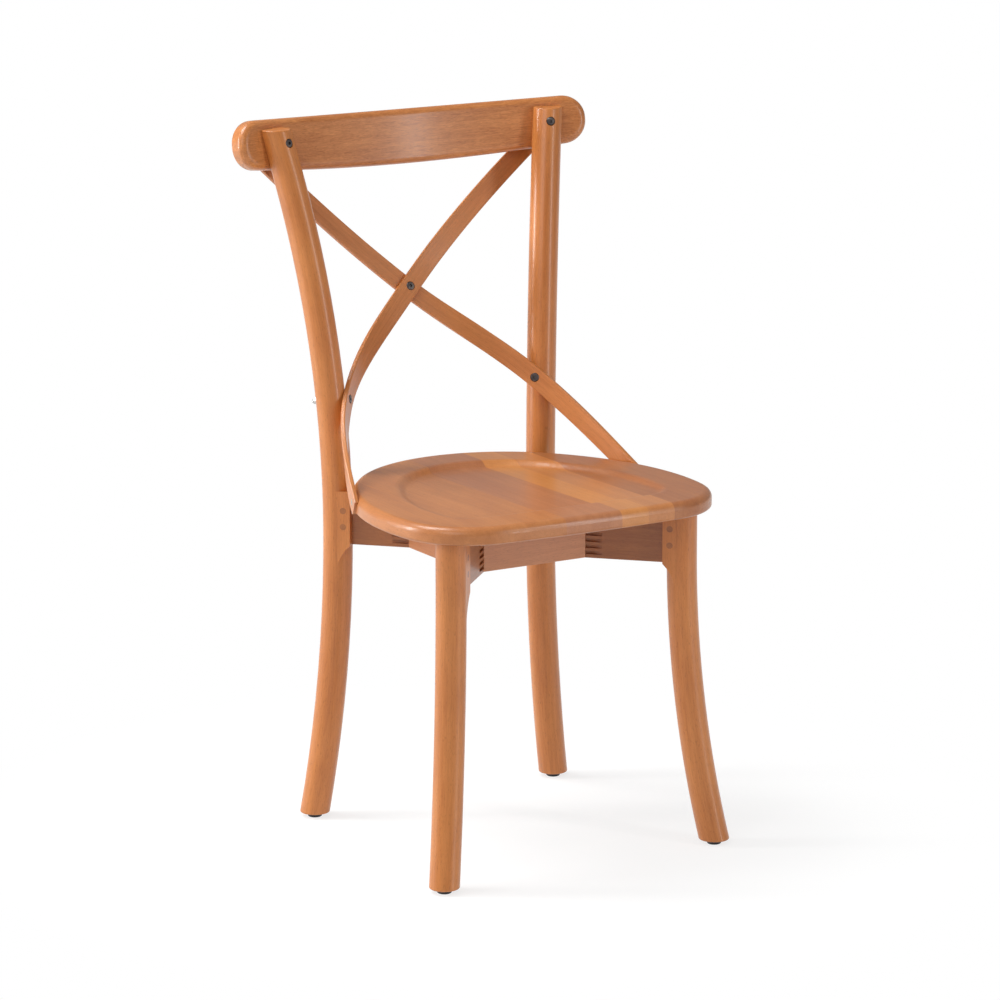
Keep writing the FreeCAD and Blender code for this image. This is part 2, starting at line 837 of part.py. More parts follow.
def addArm(label, x, y, turn, leftGap, rightGap):
    """A diagonal arm. Its own X axis runs from the leg's centre line to the frame's middle.

    The gaps are the distances, square to each rail, from the leg's centre line to the rails'
    outer faces, for the rail at the arm's left and the rail at its right.
    """
    body = addBody(label, turned(turn, Vector(value(x), value(y), size.frameBottom)))
    reaches = [f"(sqrt(2) * ({gap}) + armThickness / 2)" for gap in (leftGap, rightGap)]
    inner = f"(max({reaches[0]}; {reaches[1]}) + sqrt(2) * railThickness)"
    plan = rectangle(
        addSketch(body, "Plan", "XY_Plane"),
        "blockReach",
        inner,
        "-armThickness / 2",
        "armThickness / 2",
    )
    pad(body, "Board", plan, "frameHeight")
    roundEdges(body, "EdgeRound", "frameEdgeRound", lowerEdges)
    tenon = rectangle(
        addSketch(body, "TenonPlan", "XY_Plane", lift="(frameHeight - tenonHeight) / 2"),
        "blockReach - tenonLength",
        f"blockReach + {lap}",
        "-tenonThickness / 2",
        "tenonThickness / 2",
    )
    pad(body, "Tenon", tenon, "tenonHeight")
    depth = "(fingerDepth + fingerClearance)"
    bowRadius = f"(grooveRunOut ^ 2 + {depth} ^ 2) / (2 * {depth})"
    for name, reach, sign in (("Left", reaches[0], ""), ("Right", reaches[1], "-")):
        bottom = f"{sign}(armThickness / 2 - {depth})"
        face = f"{sign}(armThickness / 2)"
        outside = f"{sign}(armThickness / 2 + {overrun})"
        sketch = outline(
            addSketch(
                body,
                f"{name}Groove",
                "XY_Plane",
                lift=f"{fingerMargin} + fingerHeight + fingerClearance",
            ),
            [
                (f"{reach} - grooveRunOut", face, bowRadius, -1 if sign else 1),
                (reach, bottom),
                (f"{inner} + {overrun}", bottom),
                (f"{inner} + {overrun}", outside),
                (f"{reach} - grooveRunOut", outside),
            ],
        )
        groove = pocket(body, f"{name}Slot", sketch, "fingerHeight + 2 * fingerClearance")
        row(body, f"{name}Slots", groove, sketch, fingerRun, "fingerCount")
        doc.recompute()
    for i, hole in enumerate(pegPlacements(x, y, turn - 180)):
        cutHole(body, f"PegHole{i + 1}", "pegDiameter + 2 * pegClearance", "legDiameter", hole)
    screw = seatScrewPoint(x, y, turn)
    cutHole(
        body,
        "ScrewHole",
        "screwDiameter + 2 * screwClearance",
        f"frameHeight + {2 * overrun}",
        Placement(screw - Vector(0, 0, overrun), Rotation()),
    )
    cutHole(
        body,
        "ScrewBore",
        "seatScrewBoreDiameter",
        f"seatScrewBoreDepth + {lap}",
        Placement(screw - Vector(0, 0, lap), Rotation()),
    )
    return addPiece(body, label)


def seatScrewPoint(x, y, turn):
    inward = math.radians(turn)
    return Vector(
        value(x) + size.seatScrewSetback * math.cos(inward),
        value(y) + size.seatScrewSetback * math.sin(inward),
        size.frameBottom,
    )


frontArm = addArm(
    "frame_arm_front_right",
    "frontLegX",
    "frontLegY",
    135,
    "ringFrontY - frontLegY",
    "frontLegX - ringHalfWidth",
)
backArm = addArm(
    "frame_arm_back_right",
    "backLegX",
    "backLegY",
    225,
    "backLegX - ringHalfWidth",
    "backLegY - ringBackY",
)
mirrored(frontArm, "frame_arm_front_left")
mirrored(backArm, "frame_arm_back_left")

pegs = []
for name, leg in legs.items():
    for i, place in enumerate(pegPlacements(*leg[:3])):
        for side in (1, -1):
            peg = doc.addObject("Part::Cylinder", f"{name}Peg{i + 1}{'Right' if side > 0 else 'Left'}")
            bind(peg, "Radius", "pegDiameter / 2")
            bind(peg, "Height", "legDiameter - 2 * blockEase")
            across = place.Rotation.multVec(Vector(0, 0, 1))
            start = place.Base + across * size.blockEase
            peg.Placement = along(
                Vector(start.x * side, start.y, start.z), Vector(across.x * side, across.y, 0)
            )
            pegs.append(peg)
gathered(pegs, "frame_pegs")


# Seat: one blank, dished, then parted at its glue lines

def seatCorners(inset):
    """The seat's outline, clockwise from the left end of its back arc, drawn in by an inset."""
    back = f"(seatBackRadius - {inset})"
    side = f"(seatSideRadius - {inset})"
    corner = f"(seatCornerRadius - {inset})"
    firstX = f"({back} * sin(seatBackAngle))"
    firstY = f"(seatBackY - seatBackRadius + {back} * cos(seatBackAngle))"
    secondX = f"({firstX} + {side} * (sin(seatSideAngle) - sin(seatBackAngle)))"
    secondY = f"({firstY} + {side} * (cos(seatSideAngle) - cos(seatBackAngle)))"
    thirdX = f"({secondX} + {corner} * (sin(seatCornerAngle) - sin(seatSideAngle)))"
    thirdY = f"({secondY} + {corner} * (cos(seatCornerAngle) - cos(seatSideAngle)))"
    front = f"({thirdX} / sin(seatCornerAngle))"
    return [
        (f"-{firstX}", firstY, back, -1),
        (firstX, firstY, side, -1),
        (secondX, secondY, corner, -1),
        (thirdX, thirdY, front, -1),
        (f"-{thirdX}", thirdY, corner, -1),
        (f"-{secondX}", secondY, side, -1),
    ]


seatBlank = addBody("SeatBlank", Placement(Vector(0, 0, frameTop), Rotation()))
bind(seatBlank, "Placement.Base.z", "frameBottom + frameHeight")
seatPlan = outline(addSketch(seatBlank, "SeatPlan", "XY_Plane"), seatCorners("0"))
pad(seatBlank, "SeatPad", seatPlan, "seatThickness")
roundEdges(seatBlank, "TopRound", "seatTopRound", edgeAt(size.seatThickness))
roundEdges(seatBlank, "BottomRound", "seatBottomRound", edgeAt(0))


def dishWire(inset, depthShare):
    """The seat's outline drawn in, on a plane that tilts with the dish."""
    corners = [
        (value(c[0]), value(c[1]), value(c[2])) for c in seatCorners(f"{inset:.4f}")
    ]
    backY = size.seatBackY - size.dishInset
    frontY = seatFrontY + size.dishInset
    slope = (size.dishFrontDepth - size.dishBackDepth) / (frontY - backY)

    def lifted(x, y):
        depth = size.dishBackDepth + slope * (y - backY)
        return Vector(x, y, frameTop + size.seatThickness - depth * depthShare)

    edges = []
    for i, (x, y, radius) in enumerate(corners):
        nextX, nextY = corners[(i + 1) % len(corners)][:2]
        middleX = (x + nextX) / 2
        middleY = (y + nextY) / 2
        chordX = nextX - x
        chordY = nextY - y
        chord = math.hypot(chordX, chordY)
        bow = radius - math.sqrt(radius**2 - (chord / 2) ** 2)
        bulgeX = middleX - chordY / chord * bow
        bulgeY = middleY + chordX / chord * bow
        edges.append(Part.Arc(lifted(x, y), lifted(bulgeX, bulgeY), lifted(nextX, nextY)).toShape())
    return Part.Wire(edges)


seatFrontY = seatPlan.Shape.BoundBox.YMin
dish = doc.addObject("Part::Feature", "Dish")
# Each of the dish's outlines: its share of the border drawn in, and its share of the depth
dishSteps = ((-0.2, -0.25), (0, 0), (0.3, 0.14), (0.6, 0.62), (0.85, 0.93), (1.15, 1))
dish.Shape = Part.makeLoft(
    [dishWire(size.dishInset + size.dishBorder * step, share) for step, share in dishSteps],
    True,
    False,
)
seatDished = doc.addObject("Part::Cut", "SeatDished")
seatDished.Base = seatBlank
seatDished.Tool = dish

notch = doc.addObject("Part::Feature", "NotchRight")
notch.Shape = stripSolid(
    stripStations[2 * stripSteps :],
    size.stripThickness / 2 + size.notchClearance,
    size.stripThickness / 2 + size.legDiameter / 2,
    size.stripWidth / 2 + size.notchClearance,
    size.stripEdgeRound,
)


# Crossed strips

stripFaceDepth = size.stripThickness / 2 - size.stripSinkDepth
stripHeadPoint = stripBoltPoint - stripBoltAxis * stripFaceDepth
crossHeadPoint = crossPoint - crossAxis * (
    size.stripThickness + size.stripClearance / 2 - size.stripSinkDepth
)


def addStrip(label, side, mirror):
    """One strip, cut off level with the seat's underside."""
    blank = doc.addObject("Part::Feature", f"{label}_blank")
    half = size.stripThickness / 2
    blank.Shape = stripSolid(
        stripLine(side), half, half, size.stripWidth / 2, size.stripEdgeRound
    )
    shape = blank
    if mirror:
        shape = doc.addObject("Part::Mirroring", f"{label}_turned")
        shape.Source = blank
        shape.Normal = Vector(1, 0, 0)
    tools = []
    under = doc.addObject("Part::Box", f"{label}_under")
    bind(under, "Length", "4 * seatSideRadius")
    bind(under, "Width", "4 * seatSideRadius")
    bind(under, "Height", "frameHeight")
    under.Placement = Placement(
        Vector(-2 * size.seatSideRadius, -2 * size.seatSideRadius, size.frameBottom), Rotation()
    )
    tools.append(under)
    flip = -1 if mirror else 1
    for name, point, axis in (
        ("cross", crossPoint, crossAxis),
        ("post", stripBoltPoint, stripBoltAxis),
    ):
        hole = doc.addObject("Part::Cylinder", f"{label}_{name}_hole")
        bind(hole, "Radius", "boltDiameter / 2 + boltClearance")
        bind(hole, "Height", "2 * legDiameter")
        hole.Placement = handed(along(point - axis * size.legDiameter, axis), flip)
        tools.append(hole)
    heads = [("post", stripHeadPoint, stripBoltAxis)]
    if mirror:
        heads.append(("cross", crossHeadPoint, crossAxis))
    for name, point, axis in heads:
        sink = doc.addObject("Part::Cylinder", f"{label}_{name}_head")
        bind(sink, "Radius", "boltHeadDiameter / 2 + sinkClearance")
        bind(sink, "Height", "legDiameter")
        sink.Placement = handed(along(point, axis * -1), flip)
        tools.append(sink)
    for name, place in (("top", topScrewPlace()), ("end", endScrewPlace())):
        hole = doc.addObject("Part::Cylinder", f"{label}_{name}_hole")
        bind(hole, "Radius", "screwDiameter / 2 + screwClearance")
        bind(hole, "Height", "2 * stripThickness")
        hole.Placement = handed(place, flip)
        sink = doc.addObject("Part::Cone", f"{label}_{name}_sink")
        bind(sink, "Radius1", "screwHeadDiameter / 2 + screwClearance")
        bind(sink, "Radius2", "screwDiameter / 2 + screwClearance")
        bind(sink, "Height", "screwHeadHeight")
        sink.Placement = handed(place, flip)
        clear = doc.addObject("Part::Cylinder", f"{label}_{name}_clear")
        bind(clear, "Radius", "screwHeadDiameter / 2 + screwClearance")
        bind(clear, "Height", "stripThickness")
        outward = place.Rotation.multVec(Vector(0, 0, -1))
        clear.Placement = handed(along(place.Base, outward), flip)
        tools += [hole, sink, clear]
    fuse = doc.addObject("Part::MultiFuse", f"{label}_tools")
    fuse.Shapes = tools
    cut = doc.addObject("Part::Cut", label)
    cut.Base = shape
    cut.Tool = fuse
    return addPiece(cut, label)


def stationAt(stations, start, step, distance):
    """The point of a strip at a distance from one of its ends."""
    index = start
    left = distance
    while True:
        gap = (stations[index + step][0] - stations[index][0]).Length
        if gap >= left:
            share = left / gap
            first = stations[index]
            second = stations[index + step]
            point = first[0] * (1 - share) + second[0] * share
            face = (first[2] * (1 - share) + second[2] * share).normalize()
            return point, face
        left -= gap
        index += step


def topScrewPlace():
    """Where the upper screw's head lies, with Z along the screw."""
    point, face = stationAt(stripStations, 0, 1, size.stripScrewSetback)
    return along(point + face * (size.stripThickness / 2), face * -1)


def endScrewPlace():
    """Where the lower screw's head lies, with Z along the screw."""
    last = len(stripStations) - 1
    point, face = stationAt(stripStations, last, -1, size.stripScrewSetback)
    return along(point + face * (size.stripThickness / 2), face * -1)


def handed(place, flip):
    """A placement of a round tool, as it is or on the other side of the chair."""
    direction = place.Rotation.multVec(Vector(0, 0, 1))
    return along(
        Vector(place.Base.x * flip, place.Base.y, place.Base.z),
        Vector(direction.x * flip, direction.y, direction.z),
    )


addStrip("cross_strip_front", -1, True)
addStrip("cross_strip_rear", 1, False)


# Seat boards

halves = [
    "0",
    "boardCentreWidth / 2",
    "(boardCentreWidth / 2 + boardSecondWidth)",
    "(boardCentreWidth / 2 + boardSecondWidth + boardThirdWidth)",
    "(boardCentreWidth / 2 + boardSecondWidth + boardThirdWidth + boardFourthWidth)",
    "seatSideRadius",
]

notchLeft = doc.addObject("Part::Mirroring", "NotchLeft")
notchLeft.Source = notch
notchLeft.Normal = Vector(1, 0, 0)
notches = doc.addObject("Part::MultiFuse", "Notches")
notches.Shapes = [notch, notchLeft]
seatNotched = doc.addObject("Part::Cut", "SeatNotched")
seatNotched.Base = seatDished
seatNotched.Tool = notches

seatScrewTools = []
for name, leg in legs.items():
    x, y, turn = leg[:3]
    point = seatScrewPoint(x, y, turn + 180)
    for side in (1, -1):
        hole = doc.addObject("Part::Cylinder", f"{name}SeatHole{'Right' if side > 0 else 'Left'}")
        bind(hole, "Radius", "screwDiameter / 2 + screwClearance")
        bind(hole, "Height", "frameHeight + seatScrewGrip + screwClearance")
        hole.Placement = Placement(Vector(point.x * side, point.y, point.z), Rotation())
        seatScrewTools.append(hole)
for side in (1, -1):
    hole = doc.addObject("Part::Cylinder", f"EdgeHole{'Right' if side > 0 else 'Left'}")
    bind(hole, "Radius", "screwDiameter / 2 + screwClearance")
    bind(hole, "Height", f"stripScrewLength + {overrun}")
    hole.Placement = handed(endScrewPlace(), side)
    seatScrewTools.append(hole)
seatTools = doc.addObject("Part::MultiFuse", "SeatTools")
seatTools.Shapes = seatScrewTools
seatWhole = doc.addObject("Part::Cut", "SeatWhole")
seatWhole.Base = seatNotched
seatWhole.Tool = seatTools


def addBoard(number, left, right):
    """The stretch of the seat between two glue lines."""
    slab = doc.addObject("Part::Box", f"Board{number}Slab")
    bind(slab, "Length", f"{right} - ({left})")
    bind(slab, "Width", "4 * seatSideRadius")
    bind(slab, "Height", "3 * seatThickness")
    slab.Placement = Placement(
        Vector(value(left), -2 * size.seatSideRadius, frameTop - size.seatThickness), Rotation()
    )
    board = doc.addObject("Part::Common", f"seat_board_{number}")
    board.Base = seatWhole
    board.Tool = slab
    addPiece(board, f"seat_board_{number}")


boardEdges = [f"-{half}" for half in reversed(halves[1:])] + halves[1:]
for number in range(1, len(boardEdges)):
    addBoard(number, boardEdges[number - 1], boardEdges[number])


# Crest rail

crest = addBody("crest_rail", crestPlacement)
endRise = "(crestBottomRadius - sqrt(crestBottomRadius ^ 2 - crestLength ^ 2 / 4))"
crestSketch = outline(
    addSketch(crest, "Elevation", "XZ_Plane"),
    [
        ("-crestLength / 2", endRise, "crestBottomRadius", 1),
        ("crestLength / 2", endRise),
        ("crestLength / 2", "crestHeight"),
        ("-crestLength / 2", "crestHeight"),
    ],
)
pad(crest, "Blank", crestSketch, "crestRadius", both=True)
crestSide = f"(crestLength / 2 + {overrun})"
for name, depth, sign in (("Front", "0", "-"), ("Back", "crestThickness", "")):
    bow = f"(crestRadius + {depth})"
    ends = f"(sqrt({bow} ^ 2 - {crestSide} ^ 2) - crestRadius)"
    far = f"{sign}crestRadius"
    sketch = outline(
        addSketch(crest, f"{name}Plan", "XY_Plane", lift=f"crestHeight + {overrun}"),
        [
            (f"-{crestSide}", ends, bow, -1),
            (crestSide, ends),
            (crestSide, far),
            (f"-{crestSide}", far),
        ],
    )
    pocket(crest, f"{name}Face", sketch, f"crestHeight + {2 * overrun}")


def shortAcross(edge):
    """Picks the corners of the rail's ends, which run from its front face to its back."""
    first, last = edge.Vertexes[0].Point, edge.Vertexes[-1].Point
    atEnd = abs(first.x) > size.crestLength / 2 - levelError
    return atEnd and max(abs(first.x - last.x), abs(first.z - last.z)) < levelError


def alongFaces(edge):
    """Picks the edges of the rail's front and back faces."""
    first, last = edge.Vertexes[0].Point, edge.Vertexes[-1].Point
    middle = edge.valueAt((edge.FirstParameter + edge.LastParameter) / 2)
    spans = [
        math.hypot(point.x, point.y + size.crestRadius) - size.crestRadius
        for point in (first, middle, last)
    ]
    onFront = all(abs(span) < curveError for span in spans)
    onBack = all(abs(span - size.crestThickness) < curveError for span in spans)
    return onFront or onBack


# What is left flat between the rail's roundings, at its ends and along its edges
endFlat = 1
edgeFlat = 2
endRound = f"min(crestEndRound; (crestHeight - {endRise} - {endFlat}) / 2)"
edgeRound = f"min(crestEdgeRound; (crestThickness - {edgeFlat}) / 2)"
roundEdges(crest, "EndRound", endRound, shortAcross)
roundEdges(crest, "EdgeRound", edgeRound, alongFaces)
doc.recompute()
insertPlace = along(crestSeatPoint + crestBoltAxis * size.insertSink, crestBoltAxis)
for side in (1, -1):
    hand = "Right" if side > 0 else "Left"
    cutHole(
        crest,
        f"InsertHole{hand}",
        "insertDiameter",
        "insertLength + insertSink + legDiameter",
        handed(along(crestSeatPoint - crestBoltAxis * size.legDiameter, crestBoltAxis), side),
    )
    cutHole(
        crest,
        f"ScrewHole{hand}",
        "screwDiameter + 2 * screwClearance",
        f"stripScrewLength + {overrun}",
        handed(topScrewPlace(), side),
    )
addPiece(crest, "crest_rail")


# Turned metal pieces. Each one's own Z axis runs back out of its head.

def addTurned(label, placement, corners):
    """A piece turned about its own Z axis from a half profile."""
    body = addBody(label, placement)
    profile = outline(addSketch(body, "HalfProfile", "XZ_Plane"), corners)
    turning = body.newObject("PartDesign::Revolution", "Turning")
    turning.Profile = profile
    turning.ReferenceAxis = (profile, ["V_Axis"])
    turning.Angle = 360
    return body


def hexagon(sketch, width):
    corner = f"({width}) / cos(30) / 2"
    return outline(
        sketch,
        [
            (corner, "0"),
            (f"{corner} / 2", f"({width}) / 2"),
            (f"-{corner} / 2", f"({width}) / 2"),
            (f"-{corner}", "0"),
            (f"-{corner} / 2", f"-({width}) / 2"),
            (f"{corner} / 2", f"-({width}) / 2"),
        ],
    )


def addBolt(label, placement, length):
    """A socket-head bolt. The Z axis points out of its head, from under the head."""
    body = addTurned(
        label,
        placement,
        [
            ("0", f"-({length})"),
            ("boltDiameter / 2 - boltHeadEase", f"-({length})"),
            ("boltDiameter / 2", f"boltHeadEase - ({length})"),
            ("boltDiameter / 2", "0"),
            ("boltHeadDiameter / 2", "0"),
            ("boltHeadDiameter / 2", "boltHeadHeight - boltHeadEase"),
            ("boltHeadDiameter / 2 - boltHeadEase", "boltHeadHeight"),
            ("0", "boltHeadHeight"),
        ],
    )
    doc.recompute()
    socket = hexagon(addSketch(body, "Socket", "XY_Plane", lift="boltHeadHeight"), "socketWidth")
    pocket(body, "SocketCut", socket, "socketDepth")
    return body


def addCapNut(label, placement):
    """A domed nut, blind from its flat side. The Z axis points to its dome."""
    domeRadius = "(nutWidth / 2 - nutDomeStep)"
    body = addBody(label, placement)
    flats = hexagon(addSketch(body, "Flats", "XY_Plane"), "nutWidth")
    pad(body, "Hexagon", flats, "nutHeight")
    dome = outline(
        addSketch(body, "DomeProfile", "XZ_Plane"),
        [
            ("0", "nutHeight - nutDomeStep"),
            (domeRadius, "nutHeight - nutDomeStep"),
            (domeRadius, "nutHeight", domeRadius, 1),
            ("0", f"nutHeight + {domeRadius}"),
        ],
    )
    turning = body.newObject("PartDesign::Revolution", "Dome")
    turning.Profile = dome
    turning.ReferenceAxis = (dome, ["V_Axis"])
    turning.Angle = 360
    doc.recompute()
    bore = disc(addSketch(body, "Bore", "XY_Plane"), "boltDiameter + 2 * threadClearance")
    cut = body.newObject("PartDesign::Pocket", "BoreCut")
    cut.Profile = bore
    bind(cut, "Length", "nutHeight + 2 * nutDomeStep")
    cut.Reversed = True
    checkedCut(body, cut, "BoreCut")
    return body


def addScrew(label, placement, length):
    """A countersunk screw. The Z axis points out of its flat head."""
    return addTurned(
        label,
        placement,
        [
            ("0", f"-({length})"),
            ("screwDiameter / 2", f"screwDiameter - ({length})"),
            ("screwDiameter / 2", "-screwHeadHeight"),
            ("screwHeadDiameter / 2", "0"),
            ("0", "0"),
        ],
    )


# The crest bolts stop short of their inserts' far ends
insertSpare = 2
crestGrip = (crestSeatPoint - crestBoltStart).Length
crestBolt = addBolt(
    "CrestBoltRight",
    along(crestBoltStart, crestBoltAxis * -1),
    f"{crestGrip:.4f} + insertLength - {insertSpare}",
)
gathered([crestBolt, addTwin(crestBolt, "CrestBoltLeft")], "crest_bolts")

insert = addTurned(
    "CrestInsertRight",
    insertPlace,
    [
        ("boltDiameter / 2 + threadClearance", "0"),
        ("insertDiameter / 2", "0"),
        ("insertDiameter / 2", "insertLength"),
        ("boltDiameter / 2 + threadClearance", "insertLength"),
    ],
)
gathered([insert, addTwin(insert, "CrestInsertLeft")], "crest_inserts")

stripBoltStart = stripHeadPoint - stripBoltAxis * size.headClearance
stripGrip = (stripNutStart - stripBoltStart).Length
stripBolt = addBolt(
    "StripBoltRight",
    along(stripBoltStart, stripBoltAxis * -1),
    f"{stripGrip:.4f} + nutHeight",
)
gathered([stripBolt, addTwin(stripBolt, "StripBoltLeft")], "strip_bolts")
stripNut = addCapNut("StripNutRight", along(stripNutStart, stripBoltAxis))
gathered([stripNut, addTwin(stripNut, "StripNutLeft")], "strip_cap_nuts")

crossReach = size.stripThickness + size.stripClearance / 2 + size.headClearance
addPiece(
    addBolt(
        "crossing_bolt",
        along(crossHeadPoint - crossAxis * size.headClearance, crossAxis * -1),
        "2 * stripThickness + stripClearance + 2 * headClearance + nutHeight - stripSinkDepth",
    ),
    "crossing_bolt",
)
addPiece(
    addCapNut("crossing_cap_nut", along(crossPoint + crossAxis * crossReach, crossAxis)),
    "crossing_cap_nut",
)

stripScrews = []
for name, place in (("Top", topScrewPlace()), ("End", endScrewPlace())):
    outward = place.Rotation.multVec(Vector(0, 0, -1))
    screw = addScrew(f"StripScrew{name}Right", along(place.Base, outward), "stripScrewLength")
    stripScrews.append(screw)
    stripScrews.append(addTwin(screw, f"StripScrew{name}Left"))
gathered(stripScrews, "strip_screws")

seatScrews = []
for name, leg in legs.items():
    x, y, turn = leg[:3]
    sunk = size.seatScrewBoreDepth - size.screwHeadHeight
    head = seatScrewPoint(x, y, turn + 180) + Vector(0, 0, sunk)
    screw = addScrew(
        f"SeatScrew{name}Right",
        along(head, Vector(0, 0, -1)),
        "frameHeight - seatScrewBoreDepth + screwHeadHeight + seatScrewGrip",
    )
    seatScrews.append(screw)
    seatScrews.append(addTwin(screw, f"SeatScrew{name}Left"))
gathered(seatScrews, "seat_screws")


# Glides

nails = []
for name, leg in legs.items():
    x, y, turn, radius, angle = leg
    foot = footPoint(x, y, radius, angle)
    ground = Vector(foot.x, foot.y, 0)
    glide = addTurned(
        f"glide_{name}_right",
        Placement(ground, Rotation()),
        [
            ("0", "0"),
            ("glideDiameter / 2 - glideEdge", "0"),
            ("glideDiameter / 2", "glideEdge"),
            ("glideDiameter / 2", "glideHeight"),
            ("nailHeadDiameter / 2 + nailClearance", "glideHeight"),
            ("nailHeadDiameter / 2 + nailClearance", "glideHeight - nailHeadHeight - nailClearance"),
            ("0", "glideHeight - nailHeadHeight - nailClearance"),
        ],
    )
    addPiece(glide, f"glide_{name}_right")
    mirrored(glide, f"glide_{name}_left")
    nail = addTurned(
        f"Nail{name}Right",
        Placement(ground, Rotation()),
        [
            ("0", "glideHeight - nailHeadHeight"),
            ("nailHeadDiameter / 2", "glideHeight - nailHeadHeight"),
            ("nailHeadDiameter / 2", "glideHeight"),
            ("nailDiameter / 2", "glideHeight"),
            ("nailDiameter / 2", "glideHeight + nailLength - nailDiameter"),
            ("0", "glideHeight + nailLength"),
        ],
    )
    nails.append(nail)
    nails.append(addTwin(nail, f"Nail{name}Left"))
gathered(nails, "glide_nails")


# Check and write

doc.recompute()
faults = []
for feature in doc.Objects:
    if any(word in feature.State for word in ("Invalid", "Error")):
        faults.append(f"{feature.Label} is {feature.State}")
for piece in pieces:
    if piece.Shape.isNull() or not piece.Shape.isValid() or not piece.Shape.Solids:
        faults.append(f"{piece.Label} has no valid solid")
if faults:
    raise RuntimeError("; ".join(faults))
os.makedirs("parts", exist_ok=True)
for piece in pieces:
    piece.Shape.exportStep(f"parts/{piece.Label}.step")
    box = piece.Shape.BoundBox
    print(f"{piece.Label}: {len(piece.Shape.Solids)} solids, {piece.Shape.Volume / 1000:.1f} cm3")
print(f"{len(pieces)} nodes")
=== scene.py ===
import math
import random

import bmesh
import bpy
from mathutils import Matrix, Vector

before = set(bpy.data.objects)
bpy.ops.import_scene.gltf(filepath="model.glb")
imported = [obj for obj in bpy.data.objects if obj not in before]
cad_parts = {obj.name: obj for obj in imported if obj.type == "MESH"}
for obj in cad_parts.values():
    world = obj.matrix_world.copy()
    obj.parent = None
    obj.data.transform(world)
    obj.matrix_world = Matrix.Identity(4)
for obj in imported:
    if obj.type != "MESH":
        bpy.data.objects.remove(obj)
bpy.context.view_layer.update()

print("frame loaded:", len(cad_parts), "nodes")


# A socket that adds up like a number
class Wire:
    def __init__(self, shop, node, output=0):
        self.shop, self.node, self.output = shop, node, output

    def out(self, output):
        return Wire(self.shop, self.node, output)

    def maths(self, operation, *values):
        return self.shop.add("Math", {"operation": operation}, dict(enumerate(values)))

    def __add__(self, other):
        return self.maths("ADD", self, other)

    def __radd__(self, other):
        return self.maths("ADD", other, self)

    def __sub__(self, other):
        return self.maths("SUBTRACT", self, other)

    def __rsub__(self, other):
        return self.maths("SUBTRACT", other, self)

    def __mul__(self, other):
        return self.maths("MULTIPLY", self, other)

    def __rmul__(self, other):
        return self.maths("MULTIPLY", other, self)

    def __truediv__(self, other):
        return self.maths("DIVIDE", self, other)

    def root(self):
        return self.maths("SQRT", self)

    def angleFrom(self, other):
        return self.maths("ARCTAN2", self, other)

    def atLeast(self, other):
        return self.maths("MAXIMUM", self, other)

    def clipped(self):
        return self.maths("MINIMUM", self.atLeast(0.0), 1.0)

    def swing(self):  # a noise about nought: its own middle is a half
        return self - 0.5


# The bench of one material or world: every node is made by add
class Workshop:
    def __init__(self, owner):
        owner.use_nodes = True
        self.owner, self.tree = owner, owner.node_tree
        self.tree.nodes.clear()

    def add(self, kind, settings, sockets):
        node = self.tree.nodes.new("ShaderNode" + kind)
        for name, value in settings.items():
            if name == "line":  # the points of a float curve
                curve = node.mapping.curves[0]
                curve.points[0].location, curve.points[-1].location = value[0], value[-1]
                for point in value[1:-1]:
                    curve.points.new(*point)
                node.mapping.update()
            else:
                setattr(node, name, value)
        for name, value in sockets.items():
            if isinstance(value, Wire):
                self.tree.links.new(value.node.outputs[value.output], node.inputs[name])
            else:
                node.inputs[name].default_value = value
        return Wire(self, node)

    def place(self):
        point = self.add("TexCoord", {}, {}).out("Object")
        parts = self.add("SeparateXYZ", {}, {0: point})
        return parts, parts.out(1), parts.out(2)

    def noise(self, x, y, z, detail, roughness=0.55, distortion=0.0):
        point = self.add("CombineXYZ", {}, {0: x, 1: y, 2: z})
        inputs = {"Vector": point, "Scale": 1.0, "Detail": detail}
        inputs.update({"Roughness": roughness, "Distortion": distortion})
        return self.add("TexNoise", {}, inputs)

    def fade(self, value, low, high):
        inputs = {"Value": value, "From Min": low, "From Max": high}
        return self.add("MapRange", {"interpolation_type": "SMOOTHSTEP"}, inputs)

    def blend(self, share, first, second):  # 6, 7 and output 2 are the node's colours
        return self.add("Mix", {"data_type": "RGBA"}, {0: share, 6: first, 7: second}).out(2)

    def bump(self, height, depth):
        return self.add("Bump", {}, {"Strength": 1.0, "Distance": depth, "Height": height})

    def finish(self, surface):
        self.add("OutputMaterial", {}, {0: surface})
        return self.owner


def materialShop(name):
    return Workshop(bpy.data.materials.new(name))


def paint(red, green, blue):  # 0-255 as seen on a screen, to the linear colour of a socket
    def linear(level):
        level = level / 255
        return level / 12.92 if level <= 0.04045 else ((level + 0.055) / 1.055) ** 2.4

    return (linear(red), linear(green), linear(blue), 1.0)


def grey(level):
    return (level, level, level, 1.0)


# Where the grain of each piece runs: a reader gives along, across and through it, in metres.
# A leg stands upright at its bend, and each arc away from there has a radius and a direction
legs = {
    "bend": 0.382,
    "top": 0.90,
    "steps": 10,
    "front": {"centre": (0.1672, -0.1914), "lower": (1.566, -48.3), "upper": None},
    "back": {"centre": (0.1511, 0.1229), "lower": (2.160, 26.2), "upper": (1.600, 52.8)},
}


def legLine(kind, side):
    spec, line = legs[kind], []
    for step in range(legs["steps"] + 1):
        height = legs["top"] * step / legs["steps"]
        x, y = spec["centre"]
        arc = spec["lower"] if height < legs["bend"] else spec["upper"]
        if arc:
            radius, angle = arc[0], math.radians(arc[1])
            away = radius - math.sqrt(radius**2 - (height - legs["bend"]) ** 2)
            x, y = x + away * math.cos(angle), y + away * math.sin(angle)
        line.append((height, x * side, y))
    return line


